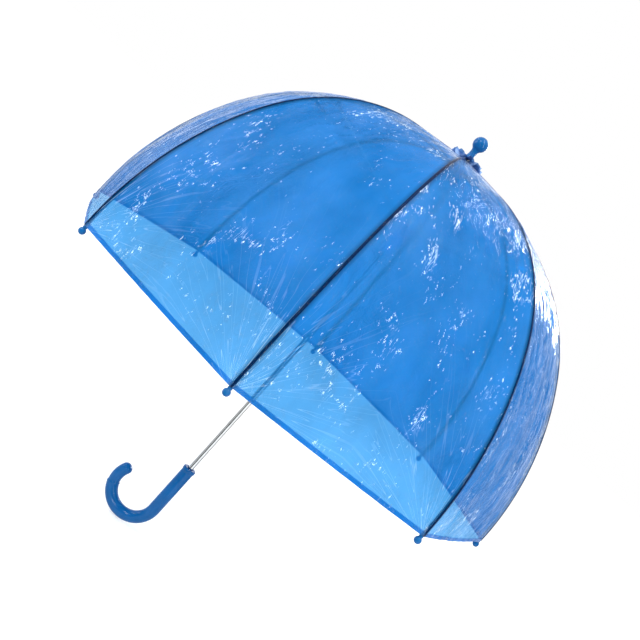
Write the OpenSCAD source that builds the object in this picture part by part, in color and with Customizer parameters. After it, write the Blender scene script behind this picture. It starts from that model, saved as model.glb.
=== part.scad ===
// Children's dome umbrella, open, shaft upright.
// Origin: on the shaft axis, at the middle of the straight part of the handle. +Z points to the finial.
// The handle's crook lies in the XZ plane and curls towards -X. Rib 1 points along -Y.

/* [Frame] */
// Number of ribs, and of stretchers
rib_count = 8; // [8:1:8]
// Height of the tip balls' centres above the origin
rim_z = 221; // [200:1:240]
// Height of the rib hinges above the tip balls
dome_h = 336; // [330:1:342]
// Radius of the circle on which the ribs are hinged
notch_ring_r = 7; // [6.6:0.1:7.4]
// Bending radius of a rib over the crown
crown_r = 266; // [260:1:272]
// Bending radius of a rib down the side
side_r = 396; // [390:1:402]
// Angle at which a rib rises from its hinge
rise_deg = 9; // [8:0.5:10]
// Angle from the vertical normal at which the crown bend meets the side bend
shoulder_deg = 56.3; // [54:0.1:58]
// Angle of the same normal at the rib's lower end
rim_deg = 89.2; // [88:0.1:90]
// Angle at which the upper length of a rib ends
flex_deg = 36; // [35:0.5:38]
// Distance of the ribs from the shaft's axis at that joint when the umbrella is closed
closed_rib_r = 16; // [15:0.5:20]
// Radius of the rib wire
rib_wire_r = 1.4; // [1.2:0.1:1.5]
// Radius of the stretcher wire
stretcher_wire_r = 1.2; // [1:0.1:1.3]

/* [Stretchers] */
// Angle along the rib's bend at which its stretcher is hinged
rivet_deg = 35.4; // [35.2:0.1:35.6]
// Distance of that hinge inside the rib's centre line
rivet_drop = 4.8; // [4.6:0.1:5]
// Radius of the circle that the stretchers' inner ends reach
runner_pivot_r = 11.5; // [11.2:0.1:11.8]
// Height of the stretchers' inner ends above the tip balls, open
runner_open_h = 240; // [236:1:244]

/* [Shaft] */
// Outer radius of the steel tube
shaft_r = 3.75; // [3.5:0.05:4]
// Wall thickness of the tube
shaft_wall = 0.65; // [0.5:0.05:0.8]
// Depth of the tube in the handle
shaft_in_handle = 58; // [40:1:64]

/* [Handle] */
// Length of the straight part
grip_len = 74; // [60:1:90]
// Radius of the handle's rod
grip_r = 8.6; // [8:0.1:9]
// Radius of the crook's centre line
crook_r = 33.6; // [30:0.1:36]
// Angle that the crook turns through
crook_deg = 206; // [180:1:215]
// Angle at which the slimmer end of the crook begins
crook_step_deg = 163; // [150:1:175]
// How much slimmer the rod is past that step
crook_step = 0.4; // [0.2:0.1:0.8]

/* [Canopy] */
// Thickness of the film's solid
film_t = 0.4; // [0.3:0.1:0.6]
// Height of the film's peak above the rib hinges
peak_h = 17; // [15:0.5:18]
// Radius of the film's hole round the shaft
peak_r = 6; // [5:0.1:7]
// Radius of the ruffled film rosette at the peak
rosette_r = 20; // [16:0.5:22]
// Radius of the finial's ball
finial_r = 10; // [9:0.1:11]
// Height of the finial's ball above the film's peak
finial_h = 27; // [25:0.5:29]
// Radius of a rib tip's ball
tip_r = 4.3; // [4:0.1:4.6]

/* [Hidden] */
$fn = 64;
eps = 0.01;

// Clearances
gap = 0.3;
running = 0.05;
slot_side = 0.35;

// Rib hinge, and the centres of the two bends
hinge_z = rim_z + dome_h;
crown_c = [notch_ring_r + crown_r * sin(rise_deg), hinge_z - crown_r * cos(rise_deg)];
shoulder = crown_c + crown_r * [sin(shoulder_deg), cos(shoulder_deg)];
side_c = shoulder - side_r * [sin(shoulder_deg), cos(shoulder_deg)];
function on_crown(a, r = crown_r) = crown_c + r * [sin(a), cos(a)];
function on_side(a, r = side_r) = side_c + r * [sin(a), cos(a)];

// Angle that a gap of this length takes at a bend of this radius
function gap_deg(length, r) = length / r * 180 / PI;
knuckle_r = rib_wire_r + 0.15;
joint_gap = knuckle_r + gap;

// Stretcher: from its hinge on the rib to its inner end in the runner
rivet = on_crown(rivet_deg, crown_r - rivet_drop);
runner_z = rim_z + runner_open_h;
inner_end = [runner_pivot_r, runner_z];
reach = rivet - inner_end;
stretcher_len = norm(reach);
stretcher_deg = atan2(reach[1], reach[0]);

// Folding: how far each rib turns at its hinge, and how far the runner slides down to close
hinge = [notch_ring_r, hinge_z];
fold_chord = on_crown(flex_deg) - hinge;
fold_deg = 90
    - asin((closed_rib_r - notch_ring_r) / norm(fold_chord))
    - atan2(-fold_chord[1], fold_chord[0]);
function folded(p) = let(v = p - hinge)
    hinge + [v[0] * cos(fold_deg) + v[1] * sin(fold_deg), v[1] * cos(fold_deg) - v[0] * sin(fold_deg)];
rivet_closed = folded(rivet);
runner_closed_z = rivet_closed[1] - sqrt(pow(stretcher_len, 2) - pow(rivet_closed[0] - runner_pivot_r, 2));

rivet_r = 0.9;
rivet_hole_r = rivet_r + running;
lug_t = 1.6;
lug_r = 2;
cheek_t = 0.8;
cheek_gap = 0.25;
cheek_len = 9;
cheek_bridge = 3;
tongue_t = 1.6;
tongue_r = 1.2;
tongue_len = 8;

// Notch: the slotted hub that the ribs are hinged in
notch_r = 11;
notch_core_r = 4.5;
notch_below = 20;
notch_flange_r = 15.5;
notch_flange_t = 2.4;
notch_above = 6;
notch_cap = 2.6;
notch_wire_r = 0.55;
eye_r = 2.1;
eye_t = 1.8;
eye_bore_r = 0.75;

// Runner: crown with slots above a sleeve
runner_crown_r = 13;
runner_core_r = 9.2;
runner_crown_h = 9;
runner_sleeve_r = 8.2;
runner_len = 46;
runner_flare_r = 8.6;
runner_flare_h = 4;
runner_groove_w = 3.6;
runner_groove_r = 6.7;
runner_wire_r = 0.5;
runner_ring_r = 8.9;

// Catches: leaf springs in the tube with a nose through a window
catch_w = 2.4;
catch_h = 13;
catch_nose_r = 6.1;
catch_leaf_t = 0.6;
catch_leaf_len = 26;
catch_leaf_y = 2.2;
window_w = 3.2;
window_h = 16;
top_catch_z = runner_z + runner_crown_h / 2 - runner_len - 1 - catch_h;
bottom_catch_z = runner_closed_z + runner_crown_h / 2 + 1;

// Handle, finial and tips
collar_r = 9.3;
collar_h = 5;
crook_z = -grip_len / 2;
crook_lap = 1;
crook_ledge = 0.05;
handle_top = grip_len / 2;
peak_z = hinge_z + peak_h;
rosette_dip = 1.9;
rosette_t = 1.3;
neck_r = 4.5;
flange_r = 8;
shaft_top = peak_z + 14;
tip_reach = 6.7;
tip_neck_r = 1.8;
tip_collar_r = 2.5;
tip_collar_len = 2;
tip_collar_at = 0.5;
tip_socket = 8;

// Film: offsets outside the rib's centre line, and the cone that runs up to the peak
film_in = rib_wire_r + 0.9;
film_out = film_in + film_t;
function cone_deg(d) = let(
    v = crown_c - [peak_r, peak_z + d - film_out],
    far = norm(v)
) 90 - asin((crown_r + d) / far) - atan2(v[0], -v[1]);
film_steps = 9;
function film_line(d) = concat(
    [[peak_r, peak_z + d - film_out]],
    [for (i = [0:film_steps])
            on_crown(cone_deg(d) + (shoulder_deg - cone_deg(d)) * i / film_steps, crown_r + d)],
    [for (i = [1:film_steps]) on_side(shoulder_deg + (rim_deg - shoulder_deg) * i / film_steps, side_r + d)]
);
function reversed(list) = [for (i = [len(list) - 1:-1:0]) list[i]];

// Turns a shape drawn in the XZ plane to rib k's own plane
module at_rib(k) {
    rotate([0, 0, 360 / rib_count * (k - 1) - 90]) children();
}

// A bent rod: part of a ring about centre c in the XZ plane, from angle a0 to a1 off the vertical
module bent_rod(c, r, a0, a1, wire) {
    translate([c[0], 0, c[1]])
        rotate([90, 0, 0])
            rotate([0, 0, 90 - a1])
                rotate_extrude(angle = a1 - a0) translate([r, 0]) circle(wire);
}

// A disc or plate across the rib's plane, of thickness t
module across(p, r, t) {
    translate([p[0], t / 2, p[1]]) rotate([90, 0, 0]) cylinder(r = r, h = t);
}

module shaft() {
    color("silver") difference() {
        translate([0, 0, handle_top - shaft_in_handle])
            cylinder(r = shaft_r, h = shaft_top - handle_top + shaft_in_handle);
        translate([0, 0, handle_top - shaft_in_handle - eps])
            cylinder(r = shaft_r - shaft_wall, h = shaft_top - handle_top + shaft_in_handle + 2 * eps);
        for (z = [top_catch_z, bottom_catch_z])
            translate([-window_w / 2, 0, z - (window_h - catch_h) / 2])
                cube([window_w, shaft_r + 1, window_h]);
    }
}

module handle() {
    color("dodgerblue") difference() {
        union() {
            translate([0, 0, crook_z]) cylinder(r = grip_r, h = grip_len);
            translate([0, 0, handle_top - collar_h]) cylinder(r = collar_r, h = collar_h);
            translate([-crook_r, 0, crook_z]) rotate([90, 0, 0]) {
                rotate([0, 0, -crook_step_deg])
                    rotate_extrude(angle = crook_step_deg + crook_lap)
                        translate([crook_r, 0]) circle(grip_r - crook_ledge);
                rotate([0, 0, -crook_deg])
                    rotate_extrude(angle = crook_deg - crook_step_deg + crook_lap)
                        translate([crook_r, 0]) circle(grip_r - crook_step);
                rotate([0, 0, -crook_deg]) translate([crook_r, 0, 0])
                    sphere(grip_r - crook_step + crook_ledge);
            }
        }
        translate([0, 0, handle_top - shaft_in_handle]) cylinder(r = shaft_r, h = shaft_in_handle + 1);
    }
}

module finial() {
    color("dodgerblue") difference() {
        union() {
            translate([0, 0, peak_z + 2]) cylinder(r = neck_r, h = finial_h - 2);
            translate([0, 0, peak_z + 2]) cylinder(r1 = flange_r, r2 = neck_r, h = 6);
            translate([0, 0, peak_z + finial_h]) sphere(finial_r);
        }
        translate([0, 0, peak_z]) cylinder(r = shaft_r, h = shaft_top - peak_z);
    }
}

module rosette() {
    hole_r = shaft_r + gap;
    color("royalblue") rotate_extrude() polygon([
        [hole_r, peak_z + 0.6], [rosette_r, peak_z - rosette_dip],
        [rosette_r, peak_z - rosette_dip + rosette_t], [hole_r, peak_z + 0.6 + rosette_t]
    ]);
}

module canopy() {
    color("deepskyblue", 0.5)
        rotate_extrude($fn = rib_count) polygon(concat(film_line(film_out), reversed(film_line(film_in))));
}

module notch() {
    color("dodgerblue") difference() {
        union() {
            translate([0, 0, hinge_z - notch_below]) cylinder(r = notch_r, h = notch_below + notch_above);
            translate([0, 0, hinge_z - notch_below]) cylinder(r = notch_flange_r, h = notch_flange_t);
        }
        translate([0, 0, hinge_z - notch_below - 1])
            cylinder(r = shaft_r, h = notch_below + notch_above + 2);
        for (k = [1:rib_count]) at_rib(k)
            translate([notch_core_r, -rib_wire_r - slot_side, hinge_z - notch_below - 1])
                cube([notch_flange_r, 2 * (rib_wire_r + slot_side),
                    notch_below + notch_above - notch_cap + 1]);
        translate([0, 0, hinge_z]) rotate_extrude() translate([notch_ring_r, 0]) circle(notch_wire_r);
    }
}

module notch_ring() {
    color("gray") translate([0, 0, hinge_z])
        rotate_extrude() translate([notch_ring_r, 0]) circle(notch_wire_r, $fn = 24);
}

module runner() {
    crown_top = runner_z + runner_crown_h / 2;
    color("white") difference() {
        union() {
            translate([0, 0, crown_top - runner_crown_h]) cylinder(r = runner_crown_r, h = runner_crown_h);
            translate([0, 0, crown_top - runner_len]) cylinder(r = runner_sleeve_r, h = runner_len);
            translate([0, 0, crown_top - runner_len]) cylinder(r = runner_flare_r, h = runner_flare_h);
        }
        translate([0, 0, crown_top - runner_len - 1]) cylinder(r = shaft_r + running, h = runner_len + 2);
        translate([-runner_groove_w / 2, 0, crown_top - runner_len - 1])
            cube([runner_groove_w, runner_groove_r, runner_len + 2]);
        for (k = [1:rib_count]) at_rib(k)
            translate([runner_core_r, -stretcher_wire_r - slot_side, crown_top - runner_crown_h - 1])
                cube([runner_crown_r, 2 * (stretcher_wire_r + slot_side), runner_crown_h + 2]);
        translate([0, 0, runner_z]) rotate_extrude() translate([runner_ring_r, 0]) circle(runner_wire_r);
    }
}

module runner_ring() {
    color("gray") translate([0, 0, runner_z])
        rotate_extrude() translate([runner_ring_r, 0]) circle(runner_wire_r, $fn = 24);
}

// Leaf spring with a wedge nose; flip puts the wedge's square step at the lower end
module catch_spring(z, flip) {
    leaf_z = z + catch_h / 2 - catch_leaf_len / 2;
    nose_y = catch_leaf_y - catch_nose_r;
    color("silver") {
        translate([-catch_w / 2, catch_leaf_y - catch_leaf_t, leaf_z])
            cube([catch_w, catch_leaf_t, catch_leaf_len]);
        translate([catch_w / 2, catch_leaf_y, z]) rotate([90, 0, -90])
            linear_extrude(catch_w) polygon(
                flip
                    ? [[0, 0], [nose_y, 0], [nose_y, 2], [0, catch_h]]
                    : [[0, 0], [nose_y, catch_h - 2], [nose_y, catch_h], [0, catch_h]]
            );
    }
}

module top_catch() {
    catch_spring(top_catch_z, false);
}

module bottom_catch() {
    catch_spring(bottom_catch_z, true);
}

module rib_upper(k) {
    start = on_crown(-rise_deg);
    end = on_crown(flex_deg);
    color("dimgray") at_rib(k) difference() {
        union() {
            bent_rod(crown_c, crown_r, gap_deg(eye_r - 0.4, crown_r) - rise_deg, flex_deg, rib_wire_r);
            translate([end[0], 0, end[1]]) sphere(knuckle_r);
            across(start, eye_r, eye_t);
            across(rivet, lug_r, lug_t);
            translate([rivet[0], -lug_t / 2, rivet[1]]) rotate([0, rivet_deg, 0])
                translate([-lug_r, 0, 0]) cube([2 * lug_r, lug_t, rivet_drop]);
        }
        across(start, eye_bore_r, 2 * eye_t);
        across(rivet, rivet_hole_r, 2 * lug_t);
    }
}

module rib_middle(k) {
    color("dimgray") at_rib(k) {
        bent_rod(crown_c, crown_r, flex_deg + gap_deg(joint_gap, crown_r), shoulder_deg, rib_wire_r);
        translate([shoulder[0], 0, shoulder[1]]) sphere(knuckle_r);
    }
}

module rib_lower(k) {
    color("dimgray") at_rib(k)
        bent_rod(side_c, side_r, shoulder_deg + gap_deg(joint_gap, side_r), rim_deg, rib_wire_r);
}

module tip(k) {
    end = on_side(rim_deg);
    color("dodgerblue") at_rib(k) translate([end[0], 0, end[1]]) rotate([0, rim_deg + 90, 0]) difference() {
        union() {
            translate([0, 0, tip_reach]) sphere(tip_r);
            translate([0, 0, -tip_socket + 2]) cylinder(r = tip_neck_r, h = tip_socket + tip_reach - 2);
            translate([0, 0, tip_collar_at]) cylinder(r = tip_collar_r, h = tip_collar_len);
        }
        translate([0, 0, -tip_socket]) cylinder(r = rib_wire_r, h = tip_socket);
    }
}

// Drawn along +X from its inner end at the origin, then turned up to its hinge on the rib
module stretcher(k) {
    half = lug_t / 2 + cheek_gap;
    color("dimgray") at_rib(k)
        translate([inner_end[0], 0, inner_end[1]]) rotate([0, -stretcher_deg, 0]) {
            difference() {
                union() {
                    translate([tongue_len, 0, 0]) rotate([0, 90, 0])
                        cylinder(r = stretcher_wire_r, h = stretcher_len - tongue_len - cheek_len);
                    across([0, 0], tongue_r, tongue_t);
                    translate([0, -tongue_t / 2, -tongue_r]) cube([tongue_len + 1, tongue_t, 2 * tongue_r]);
                    translate([stretcher_len - cheek_len - cheek_bridge, -half - cheek_t, -lug_r])
                        cube([cheek_len + cheek_bridge, 2 * (half + cheek_t), 2 * lug_r]);
                    across([stretcher_len, 0], lug_r, 2 * (half + cheek_t));
                }
                translate([stretcher_len - cheek_len, -half, -lug_r - 1])
                    cube([cheek_len + lug_r + 1, 2 * half, 2 * lug_r + 2]);
            }
            across([stretcher_len, 0], rivet_r, 2 * (half + cheek_t) + 0.8);
        }
}

shaft();
handle();
finial();
rosette();
canopy();
notch();
notch_ring();
runner();
runner_ring();
top_catch();
bottom_catch();
for (k = [1:rib_count]) {
    rib_upper(k);
    rib_middle(k);
    rib_lower(k);
    tip(k);
    stretcher(k);
}
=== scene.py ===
import math

import bpy
import numpy as np
from mathutils import Matrix, Vector


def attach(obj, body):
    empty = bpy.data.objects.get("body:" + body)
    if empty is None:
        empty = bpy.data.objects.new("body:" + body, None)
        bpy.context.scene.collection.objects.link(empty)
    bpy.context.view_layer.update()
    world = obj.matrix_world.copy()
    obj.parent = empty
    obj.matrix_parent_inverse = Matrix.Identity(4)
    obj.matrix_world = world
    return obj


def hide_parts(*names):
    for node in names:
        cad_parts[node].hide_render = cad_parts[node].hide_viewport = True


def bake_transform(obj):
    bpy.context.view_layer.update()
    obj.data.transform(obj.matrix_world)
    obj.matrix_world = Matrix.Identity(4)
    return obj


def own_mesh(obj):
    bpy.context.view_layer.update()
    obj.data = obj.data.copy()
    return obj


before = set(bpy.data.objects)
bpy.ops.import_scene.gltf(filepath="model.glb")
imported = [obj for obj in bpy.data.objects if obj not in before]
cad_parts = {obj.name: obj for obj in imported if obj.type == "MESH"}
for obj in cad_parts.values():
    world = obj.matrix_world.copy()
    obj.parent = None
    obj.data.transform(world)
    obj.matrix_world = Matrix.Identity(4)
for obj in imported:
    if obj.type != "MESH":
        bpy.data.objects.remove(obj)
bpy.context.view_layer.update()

# Everything is in metres. Rib 1 points along -Y, and rib k is 45 degrees further round for each k.
RIBS = 8
HALF = math.pi / RIBS
# A rib's line in its own plane, as (radius, z): one arc over the crown and a flatter one down the side.
# Angles are measured from +Z at the arc's centre: the hinge is at -RISE, the upper flex joint at FLEX, the
# lower one at SHOULDER, and the rib ends at RIM.
HINGE_Z, NOTCH_R = 0.557, 0.007
CROWN_R, SIDE_R = 0.266, 0.396
RISE, FLEX, SHOULDER, RIM = (math.radians(a) for a in (9, 36, 56.3, 89.2))
CROWN_C = np.array([NOTCH_R + CROWN_R * math.sin(RISE), HINGE_Z - CROWN_R * math.cos(RISE)])
SHOULDER_P = CROWN_C + CROWN_R * np.array([math.sin(SHOULDER), math.cos(SHOULDER)])
SIDE_C = SHOULDER_P - SIDE_R * np.array([math.sin(SHOULDER), math.cos(SHOULDER)])
# The film lies this far outside the rib's line, and rises in a cone to its peak beside the shaft.
FILM_OFF = 0.0025
PEAK_R, PEAK_Z = 0.006, 0.574


# ---------- camera, fitted to the photo ----------
cam = bpy.data.objects.new("Camera", bpy.data.cameras.new("Camera"))
bpy.context.collection.objects.link(cam)
right = Vector((0.73878, 0.11177, 0.66461))
up = Vector((-0.67041, 0.02094, 0.7417))
back = Vector((0.06898, -0.99351, 0.0904))
turn = Matrix((right, up, back)).transposed().to_4x4()
cam.matrix_world = Matrix.Translation((0.07636, -1.14843, 0.40354)) @ turn
cam.data.sensor_width = 36
cam.data.lens = 50.11
bpy.context.scene.camera = cam
bpy.context.scene.view_settings.view_transform = "Standard"


# ---------- node helpers ----------
def material(name):
    m = bpy.data.materials.new(name)
    m.use_nodes = True
    m.node_tree.nodes.clear()
    return m, m.node_tree


def node(nt, kind, inputs=None, **settings):
    """A new node. An input is either another node's output, which is linked to it, or a plain value."""
    n = nt.nodes.new(kind)
    for key, value in settings.items():
        setattr(n, key, value)
    for key, value in (inputs or {}).items():
        if hasattr(value, "is_output"):
            nt.links.new(value, n.inputs[key])
        else:
            n.inputs[key].default_value = value
    return n


def maths(nt, op, a, b=0.0, clamp=False):
    return node(nt, "ShaderNodeMath", {0: a, 1: b}, operation=op, use_clamp=clamp).outputs[0]


def plus(nt, a, b, clamp=False):
    return maths(nt, "ADD", a, b, clamp)


def minus(nt, a, b, clamp=False):
    return maths(nt, "SUBTRACT", a, b, clamp)


def times(nt, a, b):
    return maths(nt, "MULTIPLY", a, b)


def remap(nt, value, low, high, at_low, at_high):
    """at_low where the value is low or less, at_high where it is high or more, and evenly between."""
    return node(nt, "ShaderNodeMapRange", {"Value": value, 1: low, 2: high, 3: at_low, 4: at_high}).outputs[0]


def ramp(nt, fac, stops):
    n = nt.nodes.new("ShaderNodeValToRGB")
    nt.links.new(fac, n.inputs[0])
    for e, (at, colour) in zip(n.color_ramp.elements, stops):
        e.position, e.color = at, (*colour, 1)
    for at, colour in stops[2:]:
        n.color_ramp.elements.new(at).color = (*colour, 1)
    return n.outputs[0]


def grey(v):
    return (v, v, v)


def scaled(colour, by):
    return tuple(c * by for c in colour)


def noise_tex(nt, vector, scale, detail=3.0, rough=0.55, distortion=0.0):
    return node(nt, "ShaderNodeTexNoise", {
        "Vector": vector, "Scale": scale, "Detail": detail, "Roughness": rough,
        "Distortion": distortion}).outputs["Fac"]


def stretched(nt, vector, scale):
    return node(nt, "ShaderNodeVectorMath", {0: vector, 1: scale}, operation="MULTIPLY").outputs[0]


def mixed(nt, fac, a, b):
    return node(nt, "ShaderNodeMixRGB", {0: fac, 1: a, 2: (*b, 1)}).outputs[0]


def thin_line(nt, noise, width):
    """1 on the lines where the noise crosses its middle value, 0 a little way off them."""
    off = maths(nt, "ABSOLUTE", minus(nt, noise, 0.5))
    return remap(nt, off, width * 0.4, width, 1.0, 0.0)


def bumped(nt, height, strength, distance):
    inputs = {"Height": height, "Strength": strength, "Distance": distance}
    return node(nt, "ShaderNodeBump", inputs).outputs[0]


def output(nt, shader):
    node(nt, "ShaderNodeOutputMaterial", {"Surface": shader})


# ---------- materials ----------
def film_material(name, tint, body, share, edge, painted_sheen=1.0):
    """Clear film: what shows through takes the tint, and the film's own haze and gloss lie over it.

    body is the haze's colour, share how much of it there is face on, edge how much more at a slant, and
    painted_sheen how strong the painted highlights and the painted reflection are. The "film" attribute holds
    metres across the panel and down it.
    "from_tip" holds metres from the seam and up from the hem, and a number for the gore.
    """
    m, nt = material(name)
    place = node(nt, "ShaderNodeAttribute", attribute_name="film").outputs["Vector"]
    along = node(nt, "ShaderNodeSeparateXYZ", {0: place}).outputs[1]
    from_tip = node(nt, "ShaderNodeAttribute", attribute_name="from_tip").outputs["Vector"]
    near = node(nt, "ShaderNodeSeparateXYZ", {0: from_tip}).outputs
    reach = maths(nt, "SQRT", plus(nt, times(nt, near[0], near[0]), times(nt, near[1], near[1])))
    bearing = maths(nt, "ARCTAN2", near[0], plus(nt, near[1], 0.004))
    rays = node(nt, "ShaderNodeCombineXYZ", {
        0: times(nt, bearing, 13.0), 1: times(nt, reach, 9.0), 2: near[2]}).outputs[0]

    def grain(across, down, detail, rough, distortion=0.0):
        """Noise with about so many cells to the metre across the panel and down it."""
        return noise_tex(nt, stretched(nt, place, (across, down, 1)), 1.0, detail, rough, distortion)

    def dying(rate):
        """1 at the rib's tip, and less the further from it."""
        return maths(nt, "POWER", 2.718, times(nt, reach, -rate))

    # relief: long creases, sharp crinkles, fine grain, and pulls fanning out of each tip, stronger in patches
    ridged = maths(nt, "ABSOLUTE", minus(nt, grain(110, 60, 4, 0.62, 1.4), 0.5))
    ridged = minus(nt, 0.12, maths(nt, "MINIMUM", ridged, 0.12))
    height = plus(nt, times(nt, grain(150, 16, 3, 0.6, 0.6), 1.5), times(nt, ridged, 3.2))
    height = plus(nt, height, times(nt, grain(420, 130, 2, 0.5, 0.3), 0.14))
    fan = times(nt, noise_tex(nt, rays, 1.0, 3, 0.6), dying(16.0))
    height = plus(nt, height, times(nt, times(nt, fan, reach), 60.0))
    patch = remap(nt, grain(11, 7, 2, 0.5, 0.8), 0.46, 0.66, 0.25, 1.5)
    bump = bumped(nt, times(nt, height, patch), 0.8, 0.0022)
    # painted highlights: white glints in fine streaks, specks, and lines fanning out of each tip, in patches
    streak = thin_line(nt, grain(170, 20, 2, 0.5, 0.5), 0.012)
    speck = thin_line(nt, grain(330, 210, 2, 0.6, 1.0), 0.035)
    where = grain(19, 13, 2, 0.6, 1.0)
    streak_at = remap(nt, where, 0.61, 0.74, 0.0, 1.0)
    broken = plus(nt, times(nt, where, 0.5), times(nt, grain(300, 120, 1, 0.5), 0.5))
    speck_at = remap(nt, broken, 0.585, 0.655, 0.0, 1.0)
    fan_line = times(nt, thin_line(nt, noise_tex(nt, rays, 1.0, 1, 0.4), 0.012), dying(22.0))
    painted_glint = maths(nt, "MAXIMUM", times(nt, streak, streak_at), times(nt, speck, speck_at))
    painted_glint = times(nt, maths(nt, "MAXIMUM", painted_glint, times(nt, fan_line, 0.7)), painted_sheen)
    # darker beside each seam, where the film doubles and tightens
    beside = minus(nt, 1.0, maths(nt, "DIVIDE", near[0], 0.0062), clamp=True)
    beside = times(nt, beside, remap(nt, along, 0.05, 0.14, 0.0, 1.0))
    # painted reflection: pale streaks run down from the crown, where the film is gathered
    painted_crown_sheen = remap(nt, along, 0.02, 0.15, 0.95 * painted_sheen, 0.0)
    painted_crown_sheen = times(nt, painted_crown_sheen, remap(nt, grain(260, 9, 3, 0.6, 0.4), 0.38, 0.66, 0.1, 1.0))
    # the film's colour and gloss, with the painted reflection and the painted glints laid into the colour
    cloud = grain(14, 9, 3, 0.6)
    own = ramp(nt, cloud, [(0.3, scaled(body, 0.80)), (0.7, tuple(min(1, c * 1.10 + 0.02) for c in body))])
    own = mixed(nt, beside, own, scaled(body, 0.3))
    # painted reflection: a pale lavender grey
    own = mixed(nt, painted_crown_sheen, own, (0.46, 0.52, 0.64))
    # painted highlight: the glints are near white
    own = mixed(nt, painted_glint, own, (0.78, 0.92, 1.0))
    rough = remap(nt, cloud, 0.3, 0.7, 0.02, 0.05)
    gloss = node(nt, "ShaderNodeBsdfPrincipled", {
        "Base Color": own, "Roughness": rough, "IOR": 1.5, "Specular IOR Level": 0.17,
        "Normal": bump}).outputs[0]
    # what shows through it
    passed = ramp(nt, cloud, [(0.3, scaled(tint, 0.9)), (0.7, tint)])
    passed = mixed(nt, beside, passed, scaled(tint, 0.22))
    clear = node(nt, "ShaderNodeBsdfTransparent", {"Color": passed}).outputs[0]
    facing = node(nt, "ShaderNodeLayerWeight", {"Blend": 0.30, "Normal": bump}).outputs["Facing"]
    fac = plus(nt, share, times(nt, maths(nt, "POWER", facing, 2.0), edge))
    # the painted reflection and the painted glints also make the film less see-through where they lie
    fac = plus(nt, fac, times(nt, painted_crown_sheen, 0.40))
    fac = plus(nt, fac, times(nt, painted_glint, 0.42), clamp=True)
    output(nt, node(nt, "ShaderNodeMixShader", {0: fac, 1: clear, 2: gloss}).outputs[0])
    return m


# the last number sets how strong the painted glints and the painted reflection are
FILM = film_material("clear_blue_film", (0.120, 0.37, 0.64), (0.0003, 0.175, 0.52), 0.40, 0.15)
SEAM = film_material("welded_seam", (0.05, 0.20, 0.52), (0.0003, 0.060, 0.27), 0.46, 0.10, 0.0)
HEM = film_material("double_film_hem", (0.035, 0.24, 0.58), (0.0003, 0.180, 0.56), 0.45, 0.12, 0.4)
RUFFLE = film_material("gathered_film", (0.10, 0.34, 0.70), (0.001, 0.14, 0.46), 0.50, 0.25, 0.3)


def plastic_material(name, colour, rough):
    """Moulded plastic: slight clouding, orange peel and waves, and softened edges."""
    m, nt = material(name)
    place = node(nt, "ShaderNodeNewGeometry").outputs["Position"]
    cloud = noise_tex(nt, place, 38, 3, 0.6)
    peel = noise_tex(nt, place, 900, 2, 0.5)
    waves = noise_tex(nt, place, 110, 2, 0.5)
    lighter = tuple(min(1, c * 1.12 + 0.004) for c in colour)
    base = ramp(nt, cloud, [(0.25, scaled(colour, 0.84)), (0.75, lighter)])
    roughness = remap(nt, cloud, 0.3, 0.7, rough * 0.8, rough * 1.25)
    bump = bumped(nt, plus(nt, times(nt, peel, 0.4), waves), 0.5, 0.00024)
    edge = node(nt, "ShaderNodeBevel", {"Radius": 0.0004, "Normal": bump}, samples=4).outputs[0]
    p = node(nt, "ShaderNodeBsdfPrincipled", {
        "Base Color": base, "Roughness": roughness, "IOR": 1.45, "Specular IOR Level": 0.18,
        "Coat Weight": 0.10, "Coat Roughness": 0.06, "Normal": edge})
    output(nt, p.outputs[0])
    return m


PLASTIC = plastic_material("glossy_blue_plastic", (0.001, 0.070, 0.215), 0.14)
HUB_PLASTIC = plastic_material("hub_blue_plastic", (0.004, 0.060, 0.22), 0.3)


def metal_material(name, colour, rough, along):
    """Drawn or plated metal, with fine lines along the part and slight clouding."""
    m, nt = material(name)
    place = node(nt, "ShaderNodeTexCoord").outputs["Object"]
    lines = noise_tex(nt, stretched(nt, place, along), 1.0, 4, 0.6)
    cloud = noise_tex(nt, place, 55, 4, 0.65)
    lightest = tuple(min(1, c * 1.08) for c in colour)
    base = ramp(nt, cloud, [(0.3, scaled(colour, 0.82)), (0.65, colour), (0.9, lightest)])
    value = plus(nt, times(nt, lines, 0.12), times(nt, cloud, 0.14))
    roughness = plus(nt, rough - 0.13, value, clamp=True)
    p = node(nt, "ShaderNodeBsdfPrincipled", {
        "Base Color": base, "Metallic": 1.0, "Roughness": roughness,
        "Normal": bumped(nt, lines, 0.25, 0.00005)})
    output(nt, p.outputs[0])
    return m


CHROME = metal_material("bright_plated_tube", (0.62, 0.64, 0.65), 0.08, (900, 900, 12))
WIRE = metal_material("dark_steel_wire", (0.06, 0.075, 0.11), 0.34, (500, 500, 60))
STRUT = metal_material("grey_steel_wire", (0.46, 0.55, 0.66), 0.30, (500, 500, 60))
SPRING = metal_material("spring_steel", (0.48, 0.49, 0.52), 0.28, (700, 700, 40))
RUNNER = plastic_material("runner_plastic", (0.20, 0.36, 0.62), 0.26)


# ---------- mesh helpers ----------
def mesh_object(name, verts, faces, mat):
    me = bpy.data.meshes.new(name)
    me.from_pydata([tuple(v) for v in verts], [], [tuple(f) for f in faces])
    me.update()
    me.shade_smooth()
    me.materials.append(mat)
    ob = bpy.data.objects.new(name, me)
    bpy.context.collection.objects.link(ob)
    return ob


def vectors(ob, name, values):
    """Gives each vertex of the object its own vector, for its material to read."""
    data = ob.data.attributes.new(name, "FLOAT_VECTOR", "POINT").data
    data.foreach_set("vector", np.array(values, float).reshape(-1))


def grid_faces(rows, cols, wrap=False, flip=False):
    """The faces of rows of points; wrap joins the last column to the first, and flip turns the faces over."""
    faces = []
    for r in range(rows - 1):
        for c in range(cols if wrap else cols - 1):
            d = (c + 1) % cols
            quad = (r * cols + c, r * cols + d, (r + 1) * cols + d, (r + 1) * cols + c)
            faces.append(quad[::-1] if flip else quad)
    return faces


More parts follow.
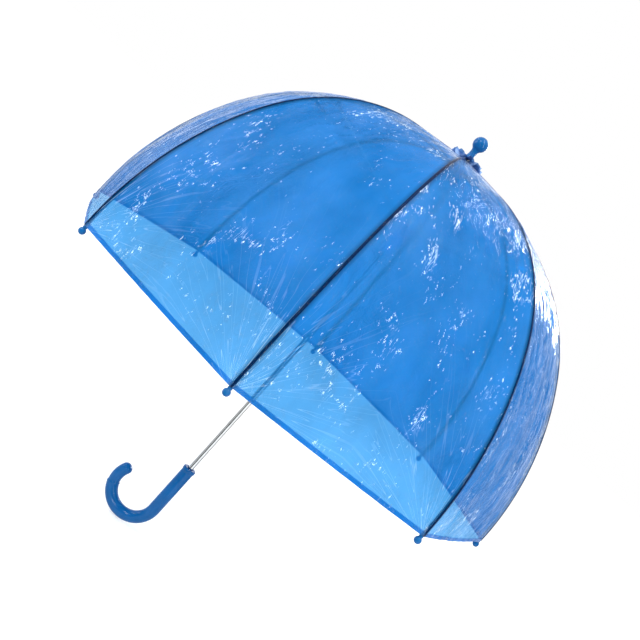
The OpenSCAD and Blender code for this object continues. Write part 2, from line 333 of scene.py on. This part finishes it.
def lathe(name, outline, mat, steps):
    """Turns an outline of (radius, z) about Z. Points on the axis are kept slightly off it."""
    pts = []
    for r, z in outline:
        for i in range(steps):
            a = 2 * math.pi * i / steps
            pts.append((max(r, 1e-5) * math.cos(a), max(r, 1e-5) * math.sin(a), z))
    return mesh_object(name, pts, grid_faces(len(outline), steps, True), mat)


# the fixed tables that noise2 draws on
TABLE = np.random.RandomState(7).permutation(512)
GRADS = np.random.RandomState(11).uniform(0, 2 * math.pi, 512)


def noise2(x, y, seed=0):
    """Gradient noise of two coordinates, about -0.7 to 0.7."""
    x, y = np.asarray(x, float), np.asarray(y, float)
    xi, yi = np.floor(x).astype(int), np.floor(y).astype(int)
    xf, yf = x - xi, y - yi
    fade = lambda t: t * t * t * (t * (t * 6 - 15) + 10)

    def corner(dx, dy):
        h = TABLE[(TABLE[(xi + dx + seed * 37) % 512] + yi + dy) % 512]
        a = GRADS[h]
        return np.cos(a) * (xf - dx) + np.sin(a) * (yf - dy)

    u, v = fade(xf), fade(yf)
    low = corner(0, 0) * (1 - u) + corner(1, 0) * u
    high = corner(0, 1) * (1 - u) + corner(1, 1) * u
    return low * (1 - v) + high * v


def smooth(t):
    """Goes from 0 to 1 in an S while t does."""
    t = np.clip(t, 0, 1)
    return t * t * (3 - 2 * t)


# ---------- film surface ----------
def on_arc(centre, radius, angles):
    return [centre + radius * np.array([math.sin(a), math.cos(a)]) for a in angles]


def cone_angle(d):
    """The angle at which a straight line from the peak touches the crown's arc, d outside the rib."""
    v = CROWN_C - np.array([PEAK_R, PEAK_Z])
    far = float(np.hypot(*v))
    return math.pi / 2 - math.asin((CROWN_R + d) / far) - math.atan2(v[0], -v[1])


def profile(d):
    """The film's line, d outside a rib: (radius, z) rows, which of them bound the lengths, and the arc."""
    a0 = cone_angle(d)
    top = on_arc(CROWN_C, CROWN_R + d, [a0])[0]
    peak = np.array([PEAK_R, PEAK_Z])
    start = peak + (top - peak) * 0.05
    rows = [start + (top - start) * t for t in np.linspace(0, 1, 36)[:-1]]
    rows += on_arc(CROWN_C, CROWN_R + d, np.linspace(a0, FLEX, 49)[:-1])
    first = len(rows)
    rows += on_arc(CROWN_C, CROWN_R + d, np.linspace(FLEX, SHOULDER, 37)[:-1])
    second = len(rows)
    rows += on_arc(SIDE_C, SIDE_R + d, np.linspace(SHOULDER, RIM, 91))
    rows = np.array(rows)
    arc = np.concatenate([[0], np.cumsum(np.hypot(*np.diff(rows, axis=0).T))])
    return rows, (0, first, second, len(rows) - 1), arc


ROWS, CUTS, ARC = profile(FILM_OFF)
# rows down the canopy, columns of one gore, and columns all round
NR, NC = len(ROWS), 84
TOTAL = RIBS * NC


def grid_normals(points):
    """Unit normals of a grid whose last column meets its first."""
    down = np.gradient(points, axis=0)
    across = np.roll(points, -1, axis=1) - np.roll(points, 1, axis=1)
    normal = np.cross(across, down)
    normal /= np.linalg.norm(normal, axis=2, keepdims=True) + 1e-12
    return normal


def film_grid():
    """The canopy as one grid that closes on itself: points, normals, flat places, and distances to a rib."""
    j = np.arange(TOTAL)
    gore, t = j // NC, (j % NC) / NC
    from_rib = np.minimum(t, 1 - t) * 2 * HALF
    angle = -math.pi / 2 + j * 2 * HALF / NC
    r, z = ROWS[:, :1], ROWS[:, 1:]
    run = (ARC / ARC[-1])[:, None]
    # between the ribs the film is fuller than a straight chord, by this share of the way out to the circle
    chord = (math.cos(HALF) / np.cos(HALF - from_rib))[None, :]
    fullness = 0.16 + 0.06 * smooth((run - 0.2) / 0.3) - 0.08 * smooth((run - 0.75) / 0.25)
    factor = chord + fullness * (1 - chord)
    radius = r * factor
    across = radius * np.sin((t - 0.5) * 2 * HALF)[None, :]
    gap = radius * np.sin(from_rib)[None, :]
    base = np.stack([radius * np.cos(angle)[None, :], radius * np.sin(angle)[None, :],
                     np.broadcast_to(z, radius.shape)], axis=2)
    normal = grid_normals(base)
    if normal[NR // 2, :, 2].mean() < 0:
        normal = -normal
    s = np.broadcast_to(ARC[:, None], radius.shape)
    seed = gore[None, :] * 13.7
    # slack, broad and narrow, then pulls beside the ribs and sharp folds; all of it ends at the ribs, and
    # there is less of it on the crown
    away = smooth(gap / 0.016)
    tight = smooth(run / 0.16)
    wave = 0.0011 * noise2(across / 0.030 + seed, s / 0.110, 1)
    wave += 0.00075 * noise2(across / 0.0125 + seed, s / 0.065, 2)
    pull = np.exp(-gap / 0.030)
    wave += 0.0009 * pull * noise2(across / 0.0085 + seed, s / 0.034, 3)
    fold = np.abs(noise2(across / 0.022 + 0.4 * noise2(across / 0.04, s / 0.04, 5) + seed, s / 0.045, 4))
    in_places = 0.3 + 0.7 * smooth(noise2(across / 0.07 + seed, s / 0.09, 6) + 0.5)
    wave += 0.0008 * (0.18 - np.minimum(fold, 0.18)) / 0.18 * in_places
    points = base + normal * (wave * away * (0.25 + 0.75 * tight))[:, :, None]
    creased = grid_normals(points)
    if (creased * normal).sum() < 0:
        creased = -creased
    flat = np.stack([across + gore[None, :] * 0.4, s, np.zeros_like(s)], axis=2)
    return points, creased, flat, gap


POINTS, NORMALS, FLAT, GAP = film_grid()


def film_piece(name, r0, r1, c0, c1, mat, lift=0.0):
    """Rows r0 to r1 and columns c0 to c1 of the canopy, as one mesh with the whole canopy's normals."""
    rr = np.arange(r0, r1 + 1)
    cc = np.arange(c0, c1 + 1) % TOTAL
    p = POINTS[np.ix_(rr, cc)] + lift * NORMALS[np.ix_(rr, cc)]
    n = NORMALS[np.ix_(rr, cc)].reshape(-1, 3)
    f = FLAT[np.ix_(rr, cc)].copy()
    # the last column may start the next gore, so its flat place is carried on from this one
    f[:, -1, 0] = f[:, -2, 0] + (f[:, -2, 0] - f[:, -3, 0])
    ob = mesh_object(name, p.reshape(-1, 3), grid_faces(len(rr), len(cc), flip=True), mat)
    vectors(ob, "film", f)
    g = GAP[np.ix_(rr, cc)]
    from_hem = np.broadcast_to((ARC[-1] - ARC[rr])[:, None], g.shape)
    vectors(ob, "from_tip", np.stack([g, from_hem, np.round(f[:, :, 0] * 2.5)], axis=2))
    ob.data.normals_split_custom_set_from_vertices(n.tolist())
    return ob


def area_of(ob):
    return sum(p.area for p in ob.data.polygons)


LEAST_SIDE, LEAST_SHARE = 0.0102, 0.305


def declare(ob):
    """Works out how big the piece's flat cut is, and passes the numbers on to nothing. The area is the mesh's
    own, not measured apart from it.

    The length is the longest side of the mesh's box, and the width leaves a quarter more than the area needs.
    A strip that is narrower than the tool takes has a rectangle wider than it is.
    """
    area = area_of(ob)
    pts = np.array([v.co for v in ob.data.vertices])
    size = sorted(pts.max(0) - pts.min(0))
    length = max(size[2], area / max(size[1], 1e-3), 0.011)
    width = max(area / length * 1.25, LEAST_SIDE)
    area = max(area, LEAST_SHARE * width * length)


# A rib has three lengths. For each: its body and its node.
LENGTHS = (("rib_{}", "rib_upper_{}"), ("rib_middle_{}_body", "rib_middle_{}"),
           ("rib_lower_{}_body", "rib_lower_{}"))
# the row, 36 mm from the axis, above which the crown's panels are pieces of their own
NECK = int(np.argmax(ROWS[:, 0] > 0.036))
# columns from a rib to the middle of its gore
HALF_C = NC // 2


def rib_frame(k):
    """The directions out along rib k and round from it."""
    a = math.radians(45 * (k - 1) - 90)
    return Vector((math.cos(a), math.sin(a), 0)), Vector((-math.sin(a), math.cos(a), 0))


def fold(ob, k, length, side):
    """Gives a half panel a mesh of its own."""
    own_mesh(ob)


def seam_strip(name, k, r0, r1):
    """The welded seam over rib k from row r0 to row r1: a strip 3.2 mm wide, raised in the middle."""
    radial, tangent = rib_frame(k)
    rr = np.arange(r0, r1 + 1)
    line = ROWS[rr]
    # the line's direction, and the normal that points outward
    d = np.gradient(ROWS, axis=0)[rr]
    d /= np.linalg.norm(d, axis=1, keepdims=True)
    nrm = np.stack([-d[:, 1], d[:, 0]], axis=1)
    nrm *= np.sign(nrm[:, 1] + 1e-9)[:, None] * np.where(nrm[:, 0] < -0.5, -1, 1)[:, None]
    pts, flat = [], []
    # its section: across the seam, and out from the film
    xs = np.array([-0.0016, -0.0014, -0.0008, -0.0004, 0, 0.0004, 0.0008, 0.0014, 0.0016])
    hs = np.array([0.0001, 0.0004, 0.00045, 0.0006, 0.00062, 0.0006, 0.00045, 0.0004, 0.0001])
    for i, (r, z) in enumerate(line):
        wob = 0.00018 * float(noise2(ARC[rr[i]] / 0.02, k * 3.1, 9))
        fit = min(1.0, r * 0.9 * math.tan(HALF) / 0.0024)
        for x, h in zip(xs * fit, hs):
            rad = r + nrm[i, 0] * h - abs(x) * 0.38 * max(d[i, 1] * -1, 0)
            zz = z + nrm[i, 1] * h
            pts.append(radial * rad + tangent * (x + wob) + Vector((0, 0, zz)))
            flat.append((x + k * 0.4 + 0.2, ARC[rr[i]], 0))
    ob = mesh_object(name, pts, grid_faces(len(rr), len(xs), flip=True), SEAM)
    vectors(ob, "film", flat)
    return ob


def canopy_part(ob):
    """Hides the CAD canopy, and works out the film piece's flat size."""
    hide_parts("canopy")
    declare(ob)


for k in range(1, RIBS + 1):
    centre = (k - 1) * NC
    radial = rib_frame(k)[0]
    sides = (("a", centre - HALF_C, centre, -1), ("b", centre, centre + HALF_C, 1))
    # the crown's part of the panel is made as pieces of their own, down to the neck row
    neck = [film_piece(f"film_neck_{k}{side}", 0, NECK, c0, c1, FILM) for side, c0, c1, way in sides]
    for ob in neck + [seam_strip(f"seam_neck_{k}", k, 0, NECK)]:
        canopy_part(ob)
        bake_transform(ob)
    for length, (body, rib_node) in enumerate(LENGTHS):
        r0, r1 = max(CUTS[length], NECK), CUTS[length + 1]
        for side, c0, c1, way in sides:
            ob = film_piece(f"film_{k}{side}_{length + 1}", r0, r1, c0, c1, FILM)
            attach(ob, body.format(k))
            canopy_part(ob)
            fold(ob, k, length, way)
            if length == 2:
                # the hem is doubled, so it lies a film's thickness or two outside the panel
                hem = film_piece(f"hem_{k}{side}", r1 - 2, r1, c0, c1, HEM, lift=0.0004)
                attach(hem, body.format(k))
                canopy_part(hem)
                fold(hem, k, length, way)
        seam = seam_strip(f"seam_{k}_{length + 1}", k, r0, r1)
        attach(seam, body.format(k))
        canopy_part(seam)


# ---------- rosette: two gathered rings of film round the shaft under the finial ----------
def ruffle(name, r_in, r_out, z_in, z_out, waves, height, seed, turns=0.0):
    """A ring of gathered film with so many waves round it, so high at its outer edge."""
    rows, cols = 14, 240
    pts, flat = [], []
    for i in range(rows):
        t = i / (rows - 1)
        for c in range(cols):
            a = 2 * math.pi * c / cols
            ca, sa = math.cos(a) * 2.2, math.sin(a) * 2.2
            wob = float(noise2(ca + seed, sa + 5, 12)) * 1.6
            ph = waves * a + wob + turns * t
            amp = height * t ** 1.2
            z = z_in + (z_out - z_in) * t + amp * (math.sin(ph) + 0.35 * math.sin(2 * ph + 1.3))
            r = r_in + (r_out - r_in) * t * (1 + 0.06 * math.cos(ph * 0.5 + seed))
            r += 0.0005 * t * math.cos(2 * ph)
            pts.append((r * math.cos(a), r * math.sin(a), z))
            flat.append((a * 0.03, t * 0.02, 0))
    ob = mesh_object(name, pts, grid_faces(rows, cols, True, True), RUFFLE)
    vectors(ob, "film", flat)
    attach(ob, "root")
    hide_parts("rosette")


ruffle("rosette_upper", 0.0044, 0.0200, PEAK_Z + 0.0040, PEAK_Z + 0.0030, 8, 0.0042, 0.3)
ruffle("rosette_lower", 0.0044, 0.0240, PEAK_Z + 0.0024, PEAK_Z + 0.0002, 7, 0.0034, 4.1, 0.6)

# the film's own crown, which stays on the shaft and follows the cone of the panels round it
cap_rows, cap_cols = 10, 160
slope = (ROWS[30, 1] - ROWS[0, 1]) / (ROWS[30, 0] - ROWS[0, 0])
pts, flat = [], []
for i in range(cap_rows):
    t = i / (cap_rows - 1)
    for c in range(cap_cols):
        a = 2 * math.pi * c / cap_cols - math.pi / 2
        near = abs(((a + math.pi / 2) / (2 * HALF)) % 1 - 0.5) * 2
        r = (0.0045 + 0.0095 * t) * (0.95 + 0.05 * near)
        z = PEAK_Z + 0.0007 + (0.0045 + 0.0095 * t - 0.006) * slope - 0.0001 * t
        pts.append((r * math.cos(a), r * math.sin(a), z))
        flat.append((a * 0.02, t * 0.02, 0))
cap = mesh_object("film_crown", pts, grid_faces(cap_rows, cap_cols, True, True), HEM)
vectors(cap, "film", flat)
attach(cap, "root")
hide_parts("canopy")


# ---------- finial, handle and tips ----------
def arc_points(cx, cz, r, a0, a1, n):
    """n points (radius, z) of an arc round (cx, cz), at angles measured from the radius."""
    return [(cx + r * math.cos(a), cz + r * math.sin(a)) for a in np.linspace(a0, a1, n)]


base = PEAK_Z + 0.002
ball_r, ball_z = 0.0101, PEAK_Z + 0.027
outline = [(0.0038, base), (0.0072, base)]
outline += arc_points(0.0072, base + 0.0008, 0.0008, -math.pi / 2, 0.4, 5)
# the waisted neck, as (radius, height over the base)
neck_line = ((0.0064, 0.0028), (0.0052, 0.0050), (0.0046, 0.0075), (0.0045, 0.0105), (0.0046, 0.0130),
             (0.0050, 0.0150))
outline += [(r, base + up_by) for r, up_by in neck_line]
outline += arc_points(0, ball_z, ball_r, math.asin(-0.0083 / ball_r), math.pi / 2, 26)
finial = lathe("finial_ball", outline, PLASTIC, 80)
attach(finial, "root")
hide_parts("finial")


def crook_path():
    """The handle's rings, from the grip's top to the crook's end: centre, direction in its plane, radius."""
    out = []
    top, bottom, rad, grip = 0.037, -0.037, 0.0336, 0.0086
    # the collar at the top, as (radius, depth under the top)
    collar = ((0.0040, 0.0006), (0.0052, 0), (0.0084, 0), (0.0090, 0.0003), (0.0093, 0.0010),
              (0.0093, 0.0042), (0.0091, 0.0048), (grip + 0.00012, 0.0053))
    for r, under in collar:
        out.append((Vector((0, 0, top - under)), Vector((1, 0, 0)), r))
    for z in np.linspace(top - 0.0058, bottom, 22):
        out.append((Vector((0, 0, z)), Vector((1, 0, 0)), grip))
    # the crook turns to its last angle, and is slightly thinner past a small step
    step, last = math.radians(163), math.radians(206)
    for a in np.linspace(0, last, 110)[1:]:
        cut = smooth((a - step + 0.012) / 0.024)
        flare = 0.00035 * math.exp(-((a - step + 0.02) / 0.03) ** 2)
        r = grip + flare - 0.0006 * float(cut)
        centre = Vector((-rad + rad * math.cos(a), 0, bottom - rad * math.sin(a)))
        out.append((centre, Vector((math.cos(a), 0, -math.sin(a))), r))
    tip_r = grip - 0.0006
    along = Vector((-math.sin(last), 0, -math.cos(last)))
    end, side = out[-1][0], out[-1][1]
    for t in np.linspace(0, 1, 12)[1:]:
        b = t * math.pi / 2
        r = tip_r * math.cos(b) ** 0.8 if t < 1 else 0
        out.append((end + along * (tip_r * 0.92 * math.sin(b)), side, max(r, 2e-5)))
    return out


steps = 56
pts = []
for centre, side, r in crook_path():
    for i in range(steps):
        a = 2 * math.pi * i / steps
        pts.append(centre + side * (r * math.cos(a)) + Vector((0, 1, 0)) * (r * math.sin(a)))
handle = mesh_object("hook_handle", pts, grid_faces(len(pts) // steps, steps, True, True), PLASTIC)
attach(handle, "root")
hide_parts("handle")

# the tips: a sleeve over the rib's end, a collar and a ball, as (radius, distance past the rib's end)
end = on_arc(SIDE_C, SIDE_R, [RIM])[0]
along_rib = (math.cos(RIM), -math.sin(RIM))
tip_line = [(0.00142, -0.0058), (0.0017, -0.0060), (0.0018, -0.0056), (0.00178, -0.0048), (0.00178, -0.0006),
            (0.0019, 0.0002), (0.0024, 0.0006), (0.0026, 0.0011), (0.0026, 0.0020), (0.0024, 0.0025),
            (0.0021, 0.0028), (0.0022, 0.0030)]
tip_line += arc_points(0, 0.0067, 0.0043, -0.98, math.pi / 2, 18)
tip_steps = 32
for k in range(1, RIBS + 1):
    radial, tangent = rib_frame(k)
    d = radial * along_rib[0] + Vector((0, 0, along_rib[1]))
    o = radial * float(end[0]) + Vector((0, 0, float(end[1])))
    u = d.cross(tangent)
    pts = []
    for r, s in tip_line:
        for i in range(tip_steps):
            a = 2 * math.pi * i / tip_steps
            pts.append(o + d * s + (tangent * math.cos(a) + u * math.sin(a)) * max(r, 1e-5))
    tip = mesh_object(f"tip_ball_{k}", pts, grid_faces(len(tip_line), tip_steps, True), PLASTIC)
    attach(tip, f"rib_lower_{k}_body")
    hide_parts(f"tip_{k}")


# ---------- CAD pieces that stay, with their materials ----------
LOOKS = {"shaft": CHROME, "notch": HUB_PLASTIC, "notch_ring": SPRING, "runner": RUNNER, "runner_ring": SPRING,
         "top_catch": SPRING, "bottom_catch": SPRING}
for name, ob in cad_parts.items():
    if name.startswith("rib_"):
        look = WIRE
    elif name.startswith("stretcher_"):
        look = STRUT
    else:
        look = LOOKS.get(name)
    if look is None:
        continue
    if not ob.material_slots:
        ob.data.materials.append(look)
    for s in ob.material_slots:
        s.material = look


# ---------- floor ----------
floor_m, nt = material("pale_floor")
place = node(nt, "ShaderNodeTexCoord").outputs["Object"]
soft = noise_tex(nt, place, 3.0, 3, 0.5)
tone = ramp(nt, soft, [(0.3, grey(0.52)), (0.7, grey(0.55))])
# it gives off a little light, so that it stays as pale as the photo's background
output(nt, node(nt, "ShaderNodeBsdfPrincipled", {
    "Base Color": tone, "Roughness": 0.9, "Emission Color": (1, 1, 1, 1),
    "Emission Strength": 0.50}).outputs[0])
far, floor_z = 30, -0.0815
corners = [(-far, -far, floor_z), (far, -far, floor_z), (far, far, floor_z), (-far, far, floor_z)]
floor = mesh_object("floor", corners, [(0, 1, 2, 3)], floor_m)


# ---------- light ----------
world = bpy.data.worlds.new("World")
bpy.context.scene.world = world
world.use_nodes = True
world.node_tree.nodes["Background"].inputs[0].default_value = (1, 1, 1, 1)
world.node_tree.nodes["Background"].inputs[1].default_value = 1.0


def strip(name, at, width, height, watts):
    """A long narrow lamp that points at the middle of the umbrella."""
    light = bpy.data.lights.new(name, "AREA")
    light.shape, light.size, light.size_y, light.energy = "RECTANGLE", width, height, watts
    ob = bpy.data.objects.new(name, light)
    bpy.context.collection.objects.link(ob)
    ob.location = at
    ob.rotation_euler = (Vector(MIDDLE) - Vector(at)).to_track_quat("-Z", "Y").to_euler()
    return ob


MIDDLE = (0, 0, 0.40)
strip("key_strip", (-0.9, -1.5, 1.5), 0.07, 1.3, 20)
strip("top_strip", (0.3, -0.6, 1.9), 0.07, 1.4, 20)
strip("right_strip", (1.5, -1.1, 1.0), 0.07, 1.4, 20)
strip("left_strip", (-1.7, -0.3, 0.9), 0.07, 1.4, 18)
strip("back_strip", (0.6, 1.7, 1.3), 0.07, 1.4, 18)
strip("low_strip", (0.2, -1.8, 0.35), 0.04, 0.9, 7)


# a bright sheet behind the set, seen only by the reflections
glow = strip("back_sheet", (0, 2.2, 0.75), 3.2, 1.3, 10)
glow.visible_camera = glow.visible_diffuse = glow.visible_transmission = False


# ---------- cloths round the set, seen only by the reflections ----------
def cloth_material(name, shade):
    m, nt = material(name)
    place = node(nt, "ShaderNodeTexCoord").outputs["Object"]
    tone = ramp(nt, noise_tex(nt, place, 2.0), [(0.3, grey(shade * 0.7)), (0.7, grey(shade * 1.3))])
    output(nt, node(nt, "ShaderNodeBsdfPrincipled", {"Base Color": tone, "Roughness": 0.9}).outputs[0])
    return m


DARK_CLOTH, GREY_CLOTH = cloth_material("dark_cloth", 0.022), cloth_material("grey_cloth", 0.30)
# Each cloth's material, the angles that it spans round the shaft, and the (radius, height) of its two edges.
# The first stands round the front, and the others lie flat.
CLOTHS = (
    (DARK_CLOTH, -178, -2, (2.7, -0.08), (2.7, 2.6)),
    (DARK_CLOTH, -178, -2, (1.7, -0.08), (2.7, -0.08)),
    (DARK_CLOTH, -116, -74, (0.20, -0.079), (1.7, -0.079)),
    (GREY_CLOTH, -190, -117, (0.20, -0.079), (1.7, -0.079)),
    (GREY_CLOTH, -8, 90, (0.20, -0.079), (1.7, -0.079)),
)
for i, (look, start, stop, inner, outer) in enumerate(CLOTHS):
    angles = np.radians(np.linspace(start, stop, 12))
    pts = [(r * math.cos(a), r * math.sin(a), z) for r, z in (inner, outer) for a in angles]
    cloth = mesh_object(f"cloth_{i + 1}", pts, grid_faces(2, len(angles)), look)
    cloth.visible_camera = cloth.visible_diffuse = cloth.visible_shadow = cloth.visible_transmission = False
